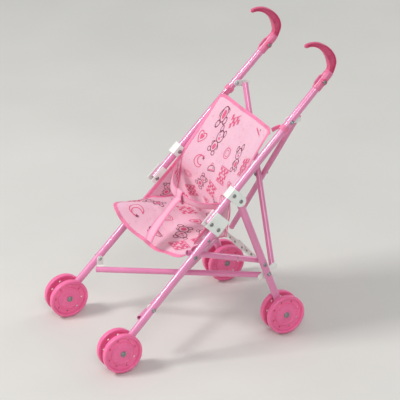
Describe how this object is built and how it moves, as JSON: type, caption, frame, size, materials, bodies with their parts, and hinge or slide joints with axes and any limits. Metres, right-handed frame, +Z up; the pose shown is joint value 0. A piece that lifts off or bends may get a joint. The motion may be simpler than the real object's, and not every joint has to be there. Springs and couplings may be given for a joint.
{
  "type": "doll stroller",
  "caption": "Toy umbrella stroller for a doll: folding leaning tube frame, crossed stays, cloth sling seat with lap belt, hooked grips and twin wheels.",
  "frame": {"origin": "on the floor under the middle of the whole stroller", "axes": "+Z up, the seated doll faces -Y and the grips are towards +Y, +X is the doll's left"},
  "size_m": [0.2688, 0.4606, 0.5326],
  "materials": {
    "tube_paint": "gloss pale pink enamel",
    "grip_plastic": "satin deep pink moulding",
    "wheel_plastic": "satin hot pink moulding",
    "white_plastic": "satin white moulding",
    "steel": "plain zinc-plated rivet steel",
    "seat_fabric": "thin printed nonwoven cloth with satin binding"
  },
  "bodies": {
    "seat": {"seat_back": "seat_fabric", "seat_side_left": "seat_fabric", "seat_side_right": "seat_fabric", "lap_belt": "seat_fabric", "crotch_strap": "seat_fabric"},
    "seat_base": {"seat_base": "seat_fabric"},
    "left_push": {"left_push_tube": "tube_paint", "left_grip": "grip_plastic", "left_grip_screw": "steel", "left_upper_bracket": "white_plastic", "left_upper_bracket_rivet": "steel", "left_rear_leg_pivot": "steel", "left_top_clip": "white_plastic"},
    "left_front_leg": {"left_front_leg": "tube_paint", "left_knee_bracket": "white_plastic", "left_knee_pivot": "steel", "left_knee_rivet": "steel", "left_link_pin": "steel", "left_front_clip": "white_plastic"},
    "left_rear_leg": {"left_rear_leg": "tube_paint", "left_rear_link_rivet": "steel", "left_rear_clip": "white_plastic"},
    "left_link": {"left_side_link": "tube_paint"},
    "left_front_wheels": {"left_front_axle": "steel", "left_front_wheel_outer": "wheel_plastic", "left_front_wheel_inner": "wheel_plastic"},
    "left_rear_wheels": {"left_rear_axle": "steel", "left_rear_wheel_outer": "wheel_plastic", "left_rear_wheel_inner": "wheel_plastic"},
    "right_push": {"right_push_tube": "tube_paint", "right_grip": "grip_plastic", "right_grip_screw": "steel", "right_upper_bracket": "white_plastic", "right_upper_bracket_rivet": "steel", "right_rear_leg_pivot": "steel", "right_top_clip": "white_plastic"},
    "right_front_leg": {"right_front_leg": "tube_paint", "right_knee_bracket": "white_plastic", "right_knee_pivot": "steel", "right_knee_rivet": "steel", "right_link_pin": "steel", "right_front_clip": "white_plastic"},
    "right_rear_leg": {"right_rear_leg": "tube_paint", "right_rear_link_rivet": "steel", "right_rear_clip": "white_plastic"},
    "right_link": {"right_side_link": "tube_paint"},
    "right_front_wheels": {"right_front_axle": "steel", "right_front_wheel_outer": "wheel_plastic", "right_front_wheel_inner": "wheel_plastic"},
    "right_rear_wheels": {"right_rear_axle": "steel", "right_rear_wheel_outer": "wheel_plastic", "right_rear_wheel_inner": "wheel_plastic"},
    "back_stay_front": {"back_stay_front": "tube_paint"},
    "back_stay_rear": {"back_stay_rear": "tube_paint", "back_stay_rivet": "steel"},
    "base_stay_upper": {"base_stay_upper": "tube_paint"},
    "base_stay_lower": {"base_stay_lower": "tube_paint"},
    "spreader_left": {"spreader_left": "white_plastic"},
    "spreader_right": {"spreader_right": "white_plastic"}
  },
  "joints": [
    {"name": "fold", "type": "slide", "parent": "seat", "child": "left_push", "axis": [-1, 0, 0], "range_m": [0, 0.05], "deforming": ["seat_back", "seat_base", "seat_side_left", "seat_side_right", "lap_belt", "crotch_strap"]},
    {"name": "right_fold", "type": "slide", "parent": "seat", "child": "right_push", "axis": [1, 0, 0], "range_m": [0, 0.05]},
    {"name": "left_front_leg_fold", "type": "hinge", "parent": "left_push", "child": "left_front_leg", "pos_m": [0.10807, -0.01752, 0.23872], "axis": [-0.9994, 0, -0.035], "range_deg": [0, 60]},
    {"name": "left_rear_leg_fold", "type": "hinge", "parent": "left_push", "child": "left_rear_leg", "pos_m": [0.10696, 0.03961, 0.27037], "axis": [-0.9994, 0, -0.035], "range_deg": [0, 30.08]},
    {"name": "left_link_fold", "type": "hinge", "parent": "left_front_leg", "child": "left_link", "pos_m": [0.09366, -0.04849, 0.18175], "axis": [0.9994, 0, 0.035], "range_deg": [0, 30.51]},
    {"name": "spreader_left_fold", "type": "hinge", "parent": "left_rear_leg", "child": "spreader_left", "pos_m": [0.09817, 0.09988, 0.12168], "axis": [0, 1, 0], "range_deg": [0, 60.61]},
    {"name": "right_front_leg_fold", "type": "hinge", "parent": "right_push", "child": "right_front_leg", "pos_m": [-0.10807, -0.01752, 0.23872], "axis": [-0.9994, 0, 0.035], "range_deg": [0, 60]},
    {"name": "right_rear_leg_fold", "type": "hinge", "parent": "right_push", "child": "right_rear_leg", "pos_m": [-0.10696, 0.03961, 0.27037], "axis": [-0.9994, 0, 0.035], "range_deg": [0, 30.08]},
    {"name": "right_link_fold", "type": "hinge", "parent": "right_front_leg", "child": "right_link", "pos_m": [-0.09366, -0.04849, 0.18175], "axis": [0.9994, 0, -0.035], "range_deg": [0, 30.51]},
    {"name": "spreader_right_fold", "type": "hinge", "parent": "right_rear_leg", "child": "spreader_right", "pos_m": [-0.09817, 0.09988, 0.12168], "axis": [0, -1, 0], "range_deg": [0, 60.61]},
    {"name": "back_stay_front_fold", "type": "hinge", "parent": "right_push", "child": "back_stay_front", "pos_m": [-0.08329, 0.15185, 0.3903], "axis": [-0.5382, 0.7245, -0.4306], "range_deg": [0, 23.83]},
    {"name": "back_stay_rear_fold", "type": "hinge", "parent": "left_push", "child": "back_stay_rear", "pos_m": [0.08329, 0.16384, 0.3903], "axis": [-0.5317, -0.7312, 0.4274], "range_deg": [0, 23.92]},
    {"name": "base_stay_upper_fold", "type": "hinge", "parent": "right_front_leg", "child": "base_stay_upper", "pos_m": [-0.0867, -0.13796, 0.08851], "axis": [0.5105, -0.447, 0.7346], "range_deg": [0, 26.02]},
    {"name": "base_stay_lower_fold", "type": "hinge", "parent": "left_front_leg", "child": "base_stay_lower", "pos_m": [0.0867, -0.13796, 0.07651], "axis": [0.5029, 0.4418, -0.743], "range_deg": [0, 26.26]},
    {"name": "seat_base_fold", "type": "hinge", "parent": "seat", "child": "seat_base", "pos_m": [0, 0.0347, 0.18603], "axis": [-1, 0, 0], "range_deg": [0, 25]},
    {"name": "left_front_wheels_spin", "type": "hinge", "parent": "left_front_leg", "child": "left_front_wheels", "pos_m": [0.11515, -0.1943, 0.03661], "axis": [0.9994, 0, 0.035], "continuous": true},
    {"name": "left_rear_wheels_spin", "type": "hinge", "parent": "left_rear_leg", "child": "left_rear_wheels", "pos_m": [0.11515, 0.1247, 0.03661], "axis": [0.9994, 0, 0.035], "continuous": true},
    {"name": "right_front_wheels_spin", "type": "hinge", "parent": "right_front_leg", "child": "right_front_wheels", "pos_m": [-0.11515, -0.1943, 0.03661], "axis": [0.9994, 0, -0.035], "continuous": true},
    {"name": "right_rear_wheels_spin", "type": "hinge", "parent": "right_rear_leg", "child": "right_rear_wheels", "pos_m": [-0.11515, 0.1247, 0.03661], "axis": [0.9994, 0, -0.035], "continuous": true}
  ],
  "couplings": [
    {"joint": "right_fold", "follows": "fold", "ratio": 1},
    {"joint": "left_front_leg_fold", "follows": "fold", "rad_per_m": 20.944},
    {"joint": "left_rear_leg_fold", "follows": "fold", "rad_per_m": 10.502},
    {"joint": "left_link_fold", "follows": "fold", "rad_per_m": 10.649},
    {"joint": "spreader_left_fold", "follows": "fold", "rad_per_m": 21.159},
    {"joint": "right_front_leg_fold", "follows": "fold", "rad_per_m": 20.944},
    {"joint": "right_rear_leg_fold", "follows": "fold", "rad_per_m": 10.502},
    {"joint": "right_link_fold", "follows": "fold", "rad_per_m": 10.649},
    {"joint": "spreader_right_fold", "follows": "fold", "rad_per_m": 21.159},
    {"joint": "back_stay_front_fold", "follows": "fold", "rad_per_m": 8.3166},
    {"joint": "back_stay_rear_fold", "follows": "fold", "rad_per_m": 8.3485},
    {"joint": "base_stay_upper_fold", "follows": "fold", "rad_per_m": 9.0827},
    {"joint": "base_stay_lower_fold", "follows": "fold", "rad_per_m": 9.1649},
    {"joint": "seat_base_fold", "follows": "fold", "rad_per_m": 8.7266}
  ]
}
